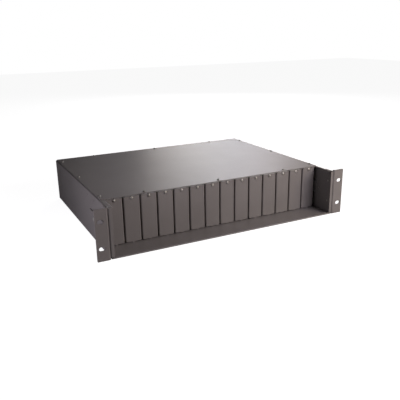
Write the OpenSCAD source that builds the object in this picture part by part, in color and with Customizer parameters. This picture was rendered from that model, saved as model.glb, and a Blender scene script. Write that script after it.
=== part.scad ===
// Rack chassis for slide-in media converters, two rack units high
// X runs to the right along the front, Y to the back, Z up
// The origin is the middle of the base's underside

/* [Body] */
// Width over the outer faces of the side walls
body_w = 438; // [436:1:446]
// Height from the base to the top of the cover
body_h = 85; // [84:0.5:87]
// Depth from the front faces of the ears to the back of the rear panel
body_d = 362; // [350:1:400]
// Depth of the open space in front of the blanking plates
recess_d = 48.5; // [40:0.5:56]
// Sheet thickness of the base tray
tray_t = 1.2; // [1:0.1:1.5]
// Inside radius of the tray's bends
tray_bend_r = 1; // [0.6:0.1:1.4]
// Width of the lips that carry the cover
lip_w = 14; // [12:0.5:16]
// Width of the lips at the top of the open space, before the row's shift
front_lip_w = 7; // [6:0.5:8]
// Distance of those lips behind the tray's front edge
front_lip_start = 6; // [5:0.5:8]
// Width of the strips that face the front beside the open space
front_strip_w = 6; // [4:0.5:8]
// Depth of the folded hem along the tray's front edge
hem_d = 8; // [5:0.5:12]

/* [Cover] */
// Sheet thickness of the cover
cover_t = 1; // [0.8:0.1:1.2]
// Gap from a side wall's outer face to the cover's edge
cover_inset = 2.5; // [1.5:0.1:3]
// Corner radius of the cover
cover_corner_r = 1.5; // [0.5:0.1:3]
// Distance of the side screws from the walls' outer faces
side_screw_inset = 6.3; // [6:0.1:8]
// Distance of the first side screw behind the cover's front edge
side_screw_front = 17; // [14:0.5:19]
// Distance of the last side screw in front of the rear panel's back
side_screw_back = 30; // [26:0.5:34]
// Distance of the front row of screws behind the cover's front edge
front_row_inset = 7; // [6:0.1:10]
// Distance of the back row of screws in front of the cover's rear edge
back_row_inset = 6.5; // [6:0.1:8]
// Spacing of the screws in the front and back rows
row_spacing = 141; // [120:1:160]

/* [Ears] */
// Width over both ears
overall_w = 482.6; // [482:0.1:483]
// Height of an ear's face
ear_h = 86; // [85:0.5:88]
// Sheet thickness of an ear
ear_t = 2; // [1.5:0.1:2.2]
// Inside radius of an ear's bend
ear_bend_r = 1.5; // [1:0.1:2]
// Corner radius of an ear's face
ear_corner_r = 1; // [0.5:0.1:2]
// Depth of an ear's full-height leg, from the front
leg_d = 25; // [22:0.5:32]
// Distance of the leg's ends from the top and bottom of the ear
leg_inset = 2.5; // [2:0.1:4]
// Depth of an ear's tongue, from the front
tongue_d = 105; // [95:1:115]
// Height of an ear's tongue
tongue_h = 23; // [18:0.5:28]
// Corner radius of an ear's tongue
tongue_r = 3; // [1:0.5:5]
// Distance across the ears between the middles of the rack slots
rack_span = 465.1; // [464.8:0.1:465.4]
// Height between the middles of the rack slots
rack_pitch = 44.45; // [44:0.05:45]
// Width of a rack slot
rack_slot_w = 6.8; // [6.5:0.1:7]
// Length of a rack slot
rack_slot_l = 10.2; // [9:0.1:11]
// Depth of the ear's front screws behind its face
ear_screw_front = 14; // [12:0.5:16]
// Height between the ear's front screws
ear_screw_span = 40; // [36:0.5:44]
// Depth of the tongue's first screw behind the ear's face
tongue_screw_front = 40; // [36:0.5:42]
// Depth of the tongue's second screw behind the ear's face
tongue_screw_back = 78; // [72:0.5:84]
// Thickness of the nut plate inside each wall
nut_plate_t = 1.5; // [1:0.1:2]

/* [Slots] */
// Distance of the row of slots from the walls' outer faces, before its shift
row_margin = 7.6; // [7.4:0.05:8]
// Shift of the row of slots to the right of the middle
slots_shift = 2; // [-2:0.5:2]
// Depth of a converter
converter_d = 94.5; // [90:0.5:98]
// Height of a converter
converter_h = 73; // [70:0.5:74]
// Sheet thickness of the slot guides
guide_t = 1; // [0.8:0.1:1.2]
// Width of a guide's ribs
rib_w = 2.4; // [2:0.1:2.6]
// Height of a guide's ribs
rib_h = 6; // [5:0.5:7]
// Distance of the guides behind the blanking plates' faces
guide_inset = 17.5; // [16:0.5:20]
// Depth of the guides
guide_d = 74; // [68:1:76]

/* [Blanking plates] */
// Sheet thickness of a blanking plate
plate_t = 1; // [0.8:0.1:1.2]
// Gap between two blanking plates
plate_gap = 1.8; // [1.4:0.1:2.2]
// Inside radius of a blanking plate's bends
plate_bend_r = 1; // [0.7:0.1:1.2]
// Depth of a blanking plate's side flanges
plate_flange_d = 8; // [6:0.5:9]
// Width of the foot at the bottom of a blanking plate
plate_foot_w = 4; // [3:0.5:8]
// Height of the notches beside that foot
plate_notch_h = 1.4; // [1:0.1:2]
// Distance of the blanking plates' screws below the top of the cover
plate_screw_drop = 5.4; // [5:0.1:6]
// Height of the seat around a blanking plate's screw hole
plate_seat_h = 0.8; // [0.8:0.1:1]
// Radius of that seat
plate_seat_r = 3.4; // [3.2:0.1:3.5]

/* [Front rail] */
// Sheet thickness of the rail behind the tops of the plates
rail_t = 1.2; // [1:0.1:1.5]
// Depth of the rail
rail_d = 20; // [19:0.5:22]
// Width of the tabs bent down from the rail, one behind each plate
rail_tab_w = 20; // [16:0.5:21]
// Height of those tabs
rail_tab_h = 8; // [7.5:0.1:8.5]
// Length of the rail's ends that pass under the tray's lips
rail_lap = 4; // [3:0.5:5]

/* [Backplane] */
// Thickness of the circuit boards
board_t = 1.6; // [1.2:0.1:2]
// Height of the backplane board
board_h = 46; // [44:1:50]
// Length of the spacers behind the backplane board
spacer_l = 7; // [6:0.5:9]
// Sheet thickness of the bulkhead that carries the board
bulkhead_t = 1.2; // [1:0.1:1.5]
// Depth of the bulkhead's flanges
bulkhead_flange = 8; // [6:0.5:9]
// Radius of a power plug's barrel
barrel_r = 2.75; // [2.5:0.05:3]
// Length of a power plug's barrel
barrel_l = 9.5; // [8:0.5:11]

/* [Rear panel] */
// Sheet thickness of the rear panel
panel_t = 1.2; // [1:0.1:1.5]
// Depth of the rear panel's flanges
panel_flange = 12; // [10:0.5:14]
// Width of a power bay's opening
bay_w = 118; // [114:1:119]
// Height of a power bay's opening
bay_h = 64; // [62:1:66]
// Height of a power bay's opening above the base
bay_z = 9; // [8:0.5:11]
// Distance of a power bay's opening from the wall's outer face
bay_edge = 14; // [13:0.5:15]

/* [Fans] */
// Width of a fan's square frame
fan_w = 60; // [58:1:60]
// Depth of a fan
fan_d = 25; // [23:1:26]
// Spacing of a fan's screw holes
fan_hole_span = 50; // [49:0.5:50]
// Gap between the two fans
fan_gap = 12; // [8:1:14]
// Radius of a fan's duct
duct_r = 28.6; // [28:0.1:28.8]
// Radius of a fan's hub
hub_r = 15.5; // [14.5:0.5:17]
// Thickness of a fan blade
blade_t = 1.4; // [1:0.1:1.8]
// Radius of the guards' wire
wire_r = 0.8; // [0.6:0.1:0.9]
// Radius of a fan's lead
lead_r = 1.3; // [1:0.1:1.5]

/* [Power module] */
// Sheet thickness of the power module's case
case_t = 1; // [0.8:0.1:1.2]
// Thickness of the faceplates over the bays
face_t = 1.5; // [1.2:0.1:2]
// Overlap of a faceplate past the sides of its opening
face_side_lap = 8; // [7.5:0.1:8.5]
// Overlap of a faceplate past the top and bottom of its opening
face_lap = 3.5; // [3:0.1:4]
// Width of the module's handle between the middles of its posts
handle_w = 70; // [60:1:80]
// Distance that the handle stands out from the faceplate
handle_out = 27; // [24:1:32]
// Radius of the handle's bar
handle_r = 3; // [2.5:0.1:3.5]

/* [Screws] */
// Radius of the small screws
small_r = 1.5; // [1.4:0.05:1.6]
// Head radius of the small screws
small_head_r = 2.75; // [2.6:0.05:3]
// Head height of the small screws
small_head_h = 1.9; // [1.6:0.1:2.2]
// Radius of the ears' screws
big_r = 2; // [1.9:0.05:2.1]
// Head radius of the ears' screws
big_head_r = 3.9; // [3.6:0.1:4.2]
// Head height of the ears' screws
big_head_h = 2.6; // [2.2:0.1:3]

/* [Hidden] */
$fn = 64;

// Overrun of a cut past the face that it opens
over = 1;
// Clearance around a screw's shank
fit = 0.1;
// Gap under a piece that slides or lies loosely, and beside it
slide_gap = 0.3;
side_gap = 0.5;

paint = [0.37, 0.35, 0.34];
bare_steel = [0.72, 0.72, 0.70];
nickel = [0.80, 0.79, 0.76];
black = [0.09, 0.09, 0.09];
board_green = [0.10, 0.33, 0.18];
rotor_black = [0.13, 0.13, 0.14];
rocker_red = [0.55, 0.08, 0.06];
lamp_green = [0.20, 0.75, 0.30];
core_yellow = [0.75, 0.62, 0.28];
capacitor_blue = [0.12, 0.14, 0.20];
aluminium = [0.60, 0.60, 0.62];

// Heights and depths that several pieces share
front_y = -body_d / 2;
back_y = body_d / 2;
wall_h = body_h - cover_t;
tray_bend_out = tray_t + tray_bend_r;
wall_x = body_w / 2;
inner_x = wall_x - tray_t;
hem_gap_z = 3 * tray_t;
lip_x = wall_x - lip_w;
lip_gap = 0.3;
flat_x = inner_x - tray_bend_out;
flat_z0 = tray_t + tray_bend_out;
flat_z1 = wall_h - tray_t - tray_bend_out;
inner_top = wall_h - tray_t - lip_gap;
plate_y = front_y + recess_d;
plate_back_y = plate_y + plate_t;
panel_y = back_y - panel_t;
ear_mid_z = ear_h / 2;

// Places of the slots, numbered from 1, and of the ribs between them
slot_count = 14;
slot_pitch = (body_w - 2 * row_margin) / slot_count;
function slot_x(i) = slots_shift + (i - (slot_count + 1) / 2) * slot_pitch;
function rib_x(i) = slots_shift + (i - slot_count / 2) * slot_pitch;

// Places of the cover's screws, as [x, y]
side_screw_x = wall_x - side_screw_inset;
side_first_y = plate_y + side_screw_front;
side_last_y = back_y - side_screw_back;
side_ys = [side_first_y, (side_first_y + side_last_y) / 2, side_last_y];
front_row_y = plate_y + front_row_inset;
back_row_y = back_y - back_row_inset;
side_places = [for (s = [-1, 1], y = side_ys) [s * side_screw_x, y]];
front_places = [for (s = [-1, 0, 1]) [slots_shift + s * row_spacing, front_row_y]];
back_places = [for (s = [-1, 0, 1]) [slots_shift + s * row_spacing, back_row_y]];
cover_places = concat(side_places, front_places, back_places);
cover_screw_l = 5;

// Places of the right ear's screws, as [y, z]
ear_front_places = [for (s = [-1, 1])
    [front_y + ear_screw_front, ear_mid_z + s * ear_screw_span / 2]];
ear_mid_place = [front_y + tongue_screw_front, ear_mid_z];
ear_back_place = [front_y + tongue_screw_back, ear_mid_z];
ear_bend_out = ear_t + ear_bend_r;
tip_short = 0.4;
nut_plate_y = plate_back_y + slide_gap;
nut_plate_back = front_y + tongue_d - tongue_r;

// Blanking plates
plate_w = slot_pitch - plate_gap;
plate_bend_out = plate_t + plate_bend_r;
plate_rim_d = plate_bend_out + fit;
plate_z0 = tray_t + slide_gap;
plate_z1 = wall_h - tray_t - slide_gap;
plate_screw_z = body_h - plate_screw_drop;
plate_screw_l = 5;
plate_flange_lift = 3;

// Rail behind the tops of the blanking plates
rail_y = plate_back_y + plate_seat_h;
rail_back_y = rail_y + rail_d;
rail_lap_y = plate_y + plate_flange_d + side_gap;

// Slot guides, with the ribs that steer a converter
guide_y0 = plate_y + guide_inset;
guide_y1 = guide_y0 + guide_d;
converter_gap = 3.4;
upper_guide_z = tray_t + converter_h + converter_gap;
guide_bracket_z = upper_guide_z + 2 * guide_t;
guide_bracket_h = 10;
guide_bracket_w = 8;
rib_nose_r = 3;
guide_screw_drop = 8.5;
guide_screw_z = wall_h - guide_screw_drop;
guide_screw_l = 3.6;
guide_screw_share = [0.17, 0.71];
guide_screw_ys = [for (s = guide_screw_share) guide_y0 + s * guide_d];
flat_head_r = 2.9;
flat_head_h = 1;

// Backplane board, its plugs and the bulkhead behind it
plug_base_d = 4.5;
plug_base_w = 9;
plug_base_h = 11;
plug_bore_r = 1.05;
board_y = plate_back_y + converter_d + plug_base_d;
board_mid_z = 38;
board_margin = 3;
board_x0 = rib_x(0) + board_margin;
board_x1 = rib_x(slot_count) - board_margin;
bulkhead_y = board_y + board_t + spacer_l;
bulkhead_back_y = bulkhead_y + bulkhead_t;
spacer_r = 3;
spacer_inset = 6;
spacer_x_share = [-0.47, -0.2, 0.2, 0.47];
spacer_places = [for (s = spacer_x_share, z = [-1, 1])
    [slots_shift + s * (board_x1 - board_x0), board_mid_z + z * (board_h / 2 - spacer_inset)]];
board_screw_spare = 2;
vent_w = 6;
vent_h = 30;
vent_pitch = 14;
vent_columns = 6;
vent_z = 50;
header_w = 8;
header_h = 6;
header_d = 4;
header_z = 19;

// Power bays
bay_x = wall_x - bay_edge - bay_w / 2;
bay_mid_z = bay_z + bay_h / 2;
bay_corner_r = 2;
bay_screw_dx = bay_w / 2 + face_side_lap / 2;
socket_w = 30;
socket_h = 12;
socket_d = 16;
socket_wall = 2;
socket_bore_d = 12;
socket_window_gap = 2;

// Runners that carry a module
runner_t = 1.2;
runner_h = 24;
runner_foot_w = 9;
runner_shelf_w = 7;
runner_end_gap = 2;

// Power module
module_gap = 1;
module_w = bay_w - 2 * module_gap;
module_z0 = bay_z + module_gap;
module_z1 = bay_z + bay_h - module_gap;
module_front_gap = 12;
module_y0 = bulkhead_back_y + module_front_gap;
face_y = back_y + face_t;
face_corner_r = 2;
lid_skirt_h = 5;
lid_vent_w = 3;
lid_vent_l = 26;
lid_vent_pitch = 7;
lid_vent_columns = 14;
lid_vent_rows = 3;
lid_vent_row_pitch = 42;
post_r = 3;
post_h = 5;
post_inset = 8;
module_board_side = 4;
module_board_front = 6;
module_board_back = 36;
module_board_z = module_z0 + case_t + post_h;
module_board_top = module_board_z + board_t;
module_board_y0 = module_y0 + module_board_front;
module_board_y1 = back_y - module_board_back;

// Plug at the module's inner end
module_plug_gap = 0.6;
module_plug_w = socket_w - 2 * socket_wall - 2 * module_plug_gap;
module_plug_h = socket_h - 2 * socket_wall - 2 * module_plug_gap;
module_plug_reach = 8;
module_plug_base_d = 10;
module_plug_margin = 3;

// Transformer, capacitors and heatsinks on the module's board
core_w = 40;
core_d = 34;
core_h = 30;
core_from_back = 28;
core_from_side = 34;
winding_r = 15;
winding_h = 22;
cap_r = 9;
cap_h = 32;
cap_pitch = 20;
cap_count = 3;
cap_from_front = 26;
cap_from_side = 15;
sink_l = 44;
sink_h = 34;
sink_web = 3;
sink_fin = 12;
sink_fin_t = 1.5;
sink_fins = 5;
sink_from_front = 56;
sink_xs_share = [-0.12, 0.2];

// Inlet, switch, lamp and vents on the module's face
inlet_dx = -34;
inlet_lift = 17;
inlet_z = module_z0 + inlet_lift;
inlet_w = 31;
inlet_h = 24;
inlet_flange = 2.5;
inlet_corner_r = 3;
inlet_body_w = 27;
inlet_body_h = 19.6;
inlet_body_d = 24;
inlet_bore_w = 24.6;
inlet_bore_h = 16.6;
inlet_bore_d = 17;
inlet_chamfer = 5;
pin_w = 2;
pin_h = 4;
pin_l = 15;
pin_dx = 7;
pin_drop = 2;
pin_rise = 3;
switch_dx = -4;
switch_z = inlet_z;
switch_w = 15;
switch_h = 21;
switch_rim = 2;
switch_corner_r = 1.5;
switch_body_w = 13;
switch_body_h = 19.2;
switch_body_d = 20;
rocker_r = 8;
rocker_w = 10.4;
rocker_gap = 0.4;
rocker_flat = 4.2;
rocker_sink = 2.6;
rocker_tilt = 10;
rocker_pin_r = 1;
rocker_pin_l = 0.7;
pin_fit = 0.06;
tab_w = 4.8;
tab_t = 0.8;
tab_l = 8;
tab_dz = 5;
lamp_dx = 13;
lamp_z = inlet_z;
lamp_r = 1.5;
lamp_flange_r = 2.2;
lamp_flange_h = 0.6;
lamp_l = 5;
face_vent_dx = 24;
face_vent_w = 3.2;
face_vent_h = 20;
face_vent_pitch = 6;
face_vents = 5;

// Handle and thumbscrews
handle_drop = 14;
handle_z = module_z1 - handle_drop;
handle_bend = 9;
handle_foot_r = 5;
handle_foot_h = 1.5;
knob_r = 3.8;
knob_l = 9;
knob_gap = 0.2;
knob_groove_r = 0.5;
knob_grooves = 18;
knob_collar_r = 2.6;
knob_collar_h = 2;
knob_slot_w = 1;
knob_slot_d = 1.2;
knob_tip = 5;

// Fans, drawn from the inlet side with the duct along the way of the air
fan_x = (fan_gap + fan_w) / 2;
fan_z = (tray_t + wall_h) / 2;
fan_y = panel_y - fan_d;
fan_corner_r = 3.5;
fan_flange_t = 4;
fan_waist_r = 31;
motor_r = 14.5;
motor_t = 4;
strut_w = 3.2;
strut_inset = 0.3;
strut_count = 4;
strut_turn = 38;
coil_r = 12;
coil_gap = 2;
shaft_r = 1.5;
shaft_fit = 0.06;
shaft_end = 1.5;
cup_wall = 1.4;
cup_front = 2;
cup_gap = 0.6;
blade_count = 7;
blade_gap = 0.9;
blade_root = 0.6;
blade_pitch = 50;
blade_curve_r = 40;
blade_front = 3.5;
blade_end_gap = 1.2;
blade_back = fan_d - motor_t - blade_end_gap;
fan_screw_l = 9;
guard_rings = 4;
guard_ring_pitch = 7;
guard_first_r = 8;
guard_spokes = 4;
guard_eye_r = 2.9;
lead_from_mid = 18;
lead_drop_y = 7;
lead_bend = 4;
lead_climb_gap = 7;
lead_inset = 2;
lead_x = fan_gap / 2 + lead_inset;

// Ground screw between the fans and the bay
ground_x = (fan_x + fan_w / 2 + bay_x - bay_w / 2 - face_side_lap) / 2;
ground_z = bay_z + bay_h / 4;
washer_r = 4.4;
washer_t = 0.8;
ground_screw_l = 7;

// Cross recess of a screw's head, as shares of the head's radius and height
cross_w_share = 1.2;
cross_t_share = 0.24;
cross_d_share = 0.5;
head_rim_share = 0.25;

// A rectangle with round corners, round the origin
module round_rect(w, h, r) {
    square([w - 2 * r, h], center = true);
    square([w, h - 2 * r], center = true);
    for (x = [-1, 1], y = [-1, 1])
        translate([x * (w / 2 - r), y * (h / 2 - r)]) circle(r);
}

// A slot with round ends that runs across, l long and w wide
module obround(l, w) {
    square([l - w, w], center = true);
    for (x = [-1, 1]) translate([x * (l - w) / 2, 0]) circle(w / 2);
}

// Runs of a profile along one axis, drawn in the other two in X, Y, Z order
module run_x(x0, x1) translate([x0, 0, 0]) rotate([90, 0, 90]) linear_extrude(x1 - x0) children();
module run_y(y0, y1) translate([0, y1, 0]) rotate([90, 0, 0]) linear_extrude(y1 - y0) children();
module run_z(z0, z1) translate([0, 0, z0]) linear_extrude(z1 - z0) children();

// Round bars and bores along one axis
module rod_x(x0, x1, y, z, r) translate([x0, y, z]) rotate([0, 90, 0]) cylinder(h = x1 - x0, r = r);
module rod_y(y0, y1, x, z, r) translate([x, y0, z]) rotate([-90, 0, 0]) cylinder(h = y1 - y0, r = r);
module rod_z(z0, z1, x, y, r) translate([x, y, z0]) cylinder(h = z1 - z0, r = r);

// A block between its lowest and its highest corner
module box(low, high) translate(low) cube(high - low);

// The same thing on the right and, mirrored, on the left
module sides() {
    children();
    mirror([1, 0, 0]) children();
}

// A screw along Z with a domed, cross-recessed head that seats at z = 0
module dome_screw(r, head_r, head_h, l) {
    rim = head_h * head_rim_share;
    rise = head_h - rim;
    dome_r = (head_r * head_r + rise * rise) / (2 * rise);
    difference() {
        union() {
            intersection() {
                translate([0, 0, head_h - dome_r]) sphere(dome_r);
                cylinder(h = head_h, r = head_r);
            }
            translate([0, 0, -l]) cylinder(h = l + rim, r = r);
        }
        for (turn = [0, 90]) rotate(turn)
            translate([-head_r * cross_w_share / 2, -head_r * cross_t_share / 2,
                head_h * (1 - cross_d_share)])
                cube([head_r * cross_w_share, head_r * cross_t_share, head_h]);
    }
}

module small_screw(l) dome_screw(small_r, small_head_r, small_head_h, l);
module big_screw(l) dome_screw(big_r, big_head_r, big_head_h, l);

// Turns a screw drawn along Z so that its head looks to the front, back or right
module head_front() rotate([90, 0, 0]) children();
module head_back() rotate([-90, 0, 0]) children();
module head_right() rotate([0, 90, 0]) children();

// Base tray: floor, walls and lips bent from one sheet, hemmed along the front

// The sheet seen along its walls, with the opening between the lips moved to the right
module tray_section(lip, shift = 0)
    translate([0, wall_h / 2]) difference() {
        round_rect(body_w, wall_h, tray_bend_out);
        round_rect(body_w - 2 * tray_t, wall_h - 2 * tray_t, tray_bend_r);
        translate([shift, wall_h / 2])
            square([body_w - 2 * lip, 2 * tray_bend_out], center = true);
    }

// The floor and the bottom bends alone, which run further forward than the walls
module floor_section() intersection() {
    tray_section(lip_w);
    translate([-wall_x, 0]) square([body_w, 2 * tray_t]);
}

// A wall's front edge, bent round to a narrow strip that faces the front
module front_corner() {
    translate([wall_x - tray_bend_out, front_y + tray_bend_out]) intersection() {
        difference() {
            circle(tray_bend_out);
            circle(tray_bend_r);
        }
        translate([0, -tray_bend_out]) square(tray_bend_out);
    }
    translate([wall_x - front_strip_w, front_y])
        square([front_strip_w - tray_bend_out, tray_t]);
}

module hem_section() {
    translate([front_y + tray_t, tray_t]) circle(tray_t);
    translate([front_y + tray_t, 0]) square([hem_d - tray_t, 2 * tray_t]);
}

// The runs of the sheet reach into each other, so that they join at any size
module tray_sheet() {
    run_y(front_y + tray_t, plate_y) floor_section();
    run_y(front_y + tray_bend_out, plate_y) tray_section(tray_bend_out);
    run_y(front_y + front_lip_start, plate_y + lip_w) tray_section(front_lip_w, slots_shift);
    run_y(plate_y, back_y) tray_section(lip_w);
    run_x(-wall_x + tray_bend_out, wall_x - tray_bend_out) hem_section();
    sides() {
        run_z(hem_gap_z, wall_h) front_corner();
        run_z(hem_gap_z, wall_h - tray_bend_out) {
            front_corner();
            translate([inner_x, front_y + tray_bend_out]) square([tray_t, tray_bend_out]);
        }
    }
}

module base_tray() color(paint) difference() {
    tray_sheet();
    for (p = side_places)
        rod_z(wall_h - tray_t - over, wall_h + over, p.x, p.y, small_r + fit);
    sides() {
        for (y = guide_screw_ys) flat_screw_seat(y);
        for (p = concat(ear_front_places, [ear_mid_place, ear_back_place]))
            rod_x(inner_x - over, wall_x + over, p.x, p.y, big_r + fit);
    }
}

// The countersunk hole of a guide screw in the right wall
module flat_screw_seat(y) {
    rod_x(inner_x - over, wall_x + over, y, guide_screw_z, small_r + fit);
    translate([wall_x - flat_head_h - fit, y, guide_screw_z]) rotate([0, 90, 0])
        cylinder(h = flat_head_h + fit, r1 = small_r + fit, r2 = flat_head_r + fit);
    rod_x(wall_x, wall_x + over, y, guide_screw_z, flat_head_r + fit);
}

module guide_screws() color(paint) sides() for (y = guide_screw_ys)
    translate([wall_x, y, guide_screw_z]) rotate([0, 90, 0]) difference() {
        union() {
            translate([0, 0, -flat_head_h])
                cylinder(h = flat_head_h, r1 = small_r, r2 = flat_head_r);
            translate([0, 0, -guide_screw_l]) cylinder(h = guide_screw_l, r = small_r);
        }
        for (turn = [0, 90]) rotate(turn)
            translate([-flat_head_r * cross_w_share / 2, -flat_head_r * cross_t_share / 2,
                -flat_head_h * cross_d_share])
                cube([flat_head_r * cross_w_share, flat_head_r * cross_t_share, over]);
    }

module top_cover() color(paint) difference() {
    run_z(wall_h, body_h) translate([0, (plate_y + back_y) / 2])
        round_rect(body_w - 2 * cover_inset, back_y - plate_y, cover_corner_r);
    for (p = cover_places) rod_z(wall_h - over, body_h + over, p.x, p.y, small_r + fit);
}

// The like screws of the top cover and of the second bay's cover
module cover_screws() color(nickel) {
    for (p = cover_places) translate([p.x, p.y, body_h]) small_screw(cover_screw_l);
    for (t = [-1, 1])
        translate([-bay_x + t * bay_screw_dx, face_y, bay_mid_z])
            head_back() small_screw(cover_screw_l);
}

// Ears: angle brackets outside the walls, with a full-height leg and a long tongue

// The bent sheet seen from above
module ear_section() {
    translate([wall_x + ear_bend_out, front_y + ear_bend_out]) intersection() {
        difference() {
            circle(ear_bend_out);
            circle(ear_bend_r);
        }
        translate([-ear_bend_out, -ear_bend_out]) square(ear_bend_out);
    }
    translate([wall_x + ear_bend_out, front_y])
        square([overall_w / 2 - wall_x - ear_bend_out, ear_t]);
    translate([wall_x, front_y + ear_bend_out]) square([ear_t, tongue_d - ear_bend_out]);
}

// What the face keeps of that sheet's height, and the leg and tongue behind it
module ear_outline() {
    run_y(front_y - over, front_y + ear_bend_out)
        translate([(wall_x - 2 * ear_corner_r + overall_w / 2) / 2, ear_h / 2])
            round_rect(overall_w / 2 - wall_x + 2 * ear_corner_r, ear_h, ear_corner_r);
    run_x(wall_x - over, wall_x + ear_t + over) {
        translate([front_y + ear_t, leg_inset])
            square([leg_d - ear_t, ear_h - 2 * leg_inset]);
        translate([front_y + (leg_d + tongue_d) / 2 - tongue_r, ear_mid_z])
            round_rect(tongue_d - leg_d + 2 * tongue_r, tongue_h, tongue_r);
    }
}

module ear() color(paint) difference() {
    intersection() {
        run_z(0, ear_h) ear_section();
        ear_outline();
    }
    for (s = [-1, 1])
        run_y(front_y - over, front_y + ear_t + over)
            translate([rack_span / 2, ear_mid_z + s * rack_pitch / 2])
                obround(rack_slot_l, rack_slot_w);
    for (p = concat(ear_front_places, [ear_mid_place, ear_back_place]))
        rod_x(wall_x - over, wall_x + ear_t + over, p.x, p.y, big_r + fit);
}

module right_ear() ear();
module left_ear() mirror([1, 0, 0]) ear();

module ear_screws() color(nickel) sides() {
    for (p = concat(ear_front_places, [ear_mid_place]))
        translate([wall_x + ear_t, p.x, p.y]) head_right() big_screw(ear_t + tray_t - tip_short);
    translate([wall_x + ear_t, ear_back_place.x, ear_back_place.y])
        head_right() big_screw(ear_t + tray_t + nut_plate_t - tip_short);
}

module nut_plates() color(bare_steel) sides() difference() {
    box([inner_x - nut_plate_t, nut_plate_y, ear_mid_z - tongue_h / 2],
        [inner_x, nut_plate_back, ear_mid_z + tongue_h / 2]);
    rod_x(inner_x - nut_plate_t - over, inner_x + over, ear_back_place.x, ear_back_place.y,
        big_r + fit);
}

// Rail under the cover's front edge, with a tab for every plate's screw
module front_rail() color(bare_steel) difference() {
    union() {
        box([-lip_x + lip_gap, rail_y, wall_h - rail_t], [lip_x - lip_gap, rail_back_y, wall_h]);
        for (i = [1:slot_count]) translate([slot_x(i), 0, 0])
            box([-rail_tab_w / 2, rail_y, wall_h - rail_tab_h], [rail_tab_w / 2, rail_y + rail_t, wall_h]);
        sides() box([lip_x - lip_gap - rail_lap, rail_lap_y, wall_h - tray_t - rail_t],
            [inner_x - tray_bend_out, rail_back_y, wall_h - tray_t]);
    }
    sides() box([lip_x - lip_gap, rail_y - over, wall_h - tray_t],
        [wall_x, rail_y + rail_t + over, wall_h + over]);
    for (i = [1:slot_count])
        rod_y(rail_y - over, rail_y + rail_t + over, slot_x(i), plate_screw_z, small_r + fit);
    for (p = front_places)
        rod_z(wall_h - rail_t - over, wall_h + over, p.x, p.y, small_r + fit);
    sides() rod_z(wall_h - tray_t - rail_t - over, wall_h, side_screw_x, side_first_y, small_r + fit);
}

// Blanking plates, one to a slot, with side flanges bent back

module plate_section(depth) intersection() {
    translate([0, depth]) difference() {
        round_rect(plate_w, 2 * depth, plate_bend_out);
        round_rect(plate_w - 2 * plate_t, 2 * depth - 2 * plate_t, plate_bend_r);
    }
    translate([-plate_w / 2, 0]) square([plate_w, depth]);
}

module blanking_plate(i) color(paint) translate([slot_x(i), plate_y, 0]) difference() {
    union() {
        run_z(plate_z0, plate_z1) plate_section(plate_rim_d);
        run_z(plate_z0 + plate_flange_lift, plate_z1 - plate_flange_lift)
            plate_section(plate_flange_d);
        rod_y(plate_t / 2, plate_t + plate_seat_h, 0, plate_screw_z, plate_seat_r);
    }
    for (s = [-1, 1])
        translate([s * (plate_w + plate_foot_w) / 4, plate_flange_d / 2, plate_z0])
            cube([(plate_w - plate_foot_w) / 2 + fit, plate_flange_d + over, 2 * plate_notch_h],
                center = true);
    rod_y(-over, plate_t + plate_seat_h + over, 0, plate_screw_z, small_r + fit);
}

module blank_screws() color(nickel) for (i = [1:slot_count])
    translate([slot_x(i), plate_y, plate_screw_z]) head_front() small_screw(plate_screw_l);

// Slot guides: moulded ribs on each side of every slot, on the tray's floor and under a sheet

module guide_rib() intersection() {
    run_y(guide_y0, guide_y1) {
        translate([-rib_w / 2, 0]) square([rib_w, rib_h - rib_w / 2]);
        translate([0, rib_h - rib_w / 2]) circle(rib_w / 2);
    }
    run_x(-rib_w, rib_w) translate([(guide_y0 + guide_y1) / 2, 0])
        round_rect(guide_d, 2 * rib_h, rib_nose_r);
}

module guide_ribs() color(black) for (i = [0:slot_count]) {
    translate([rib_x(i), 0, tray_t]) guide_rib();
    translate([rib_x(i), 0, upper_guide_z]) mirror([0, 0, 1]) guide_rib();
}

module upper_guide() color(bare_steel)
    box([2 * guide_t - inner_x, guide_y0, upper_guide_z],
        [inner_x - 2 * guide_t, guide_y1, upper_guide_z + guide_t]);

// The bent angle between the upper guide and the right wall
module guide_brackets() color(bare_steel) sides() difference() {
    run_y(guide_y0, guide_y1) translate([inner_x, guide_bracket_z]) {
        translate([-guide_t, -guide_bracket_h]) square([guide_t, guide_bracket_h - 2 * guide_t]);
        translate([-guide_bracket_w, -guide_t]) square([guide_bracket_w - 2 * guide_t, guide_t]);
        translate([-2 * guide_t, -2 * guide_t]) intersection() {
            difference() {
                circle(2 * guide_t);
                circle(guide_t);
            }
            square(2 * guide_t);
        }
    }
    for (y = guide_screw_ys)
        rod_x(inner_x - guide_t - over, inner_x + over, y, guide_screw_z, small_r + fit);
}

// Backplane board with a power plug for every slot, and the bulkhead that carries it

module backplane_board() color(board_green) difference() {
    union() {
        box([board_x0, board_y, board_mid_z - board_h / 2],
            [board_x1, board_y + board_t, board_mid_z + board_h / 2]);
        sides() box([lead_x - header_w / 2, board_y + board_t, header_z - header_h / 2],
            [lead_x + header_w / 2, board_y + board_t + header_d, header_z + header_h / 2]);
    }
    for (p = spacer_places)
        rod_y(board_y - over, board_y + board_t + over, p.x, p.y, small_r + fit);
}

module power_plugs() color(black) for (i = [1:slot_count]) difference() {
    union() {
        box([slot_x(i) - plug_base_w / 2, board_y - plug_base_d, board_mid_z - plug_base_h / 2],
            [slot_x(i) + plug_base_w / 2, board_y, board_mid_z + plug_base_h / 2]);
        rod_y(board_y - plug_base_d - barrel_l, board_y - plug_base_d / 2, slot_x(i),
            board_mid_z, barrel_r);
    }
    rod_y(board_y - plug_base_d - barrel_l - over, board_y - plug_base_d / 2, slot_x(i),
        board_mid_z, plug_bore_r);
}

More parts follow.
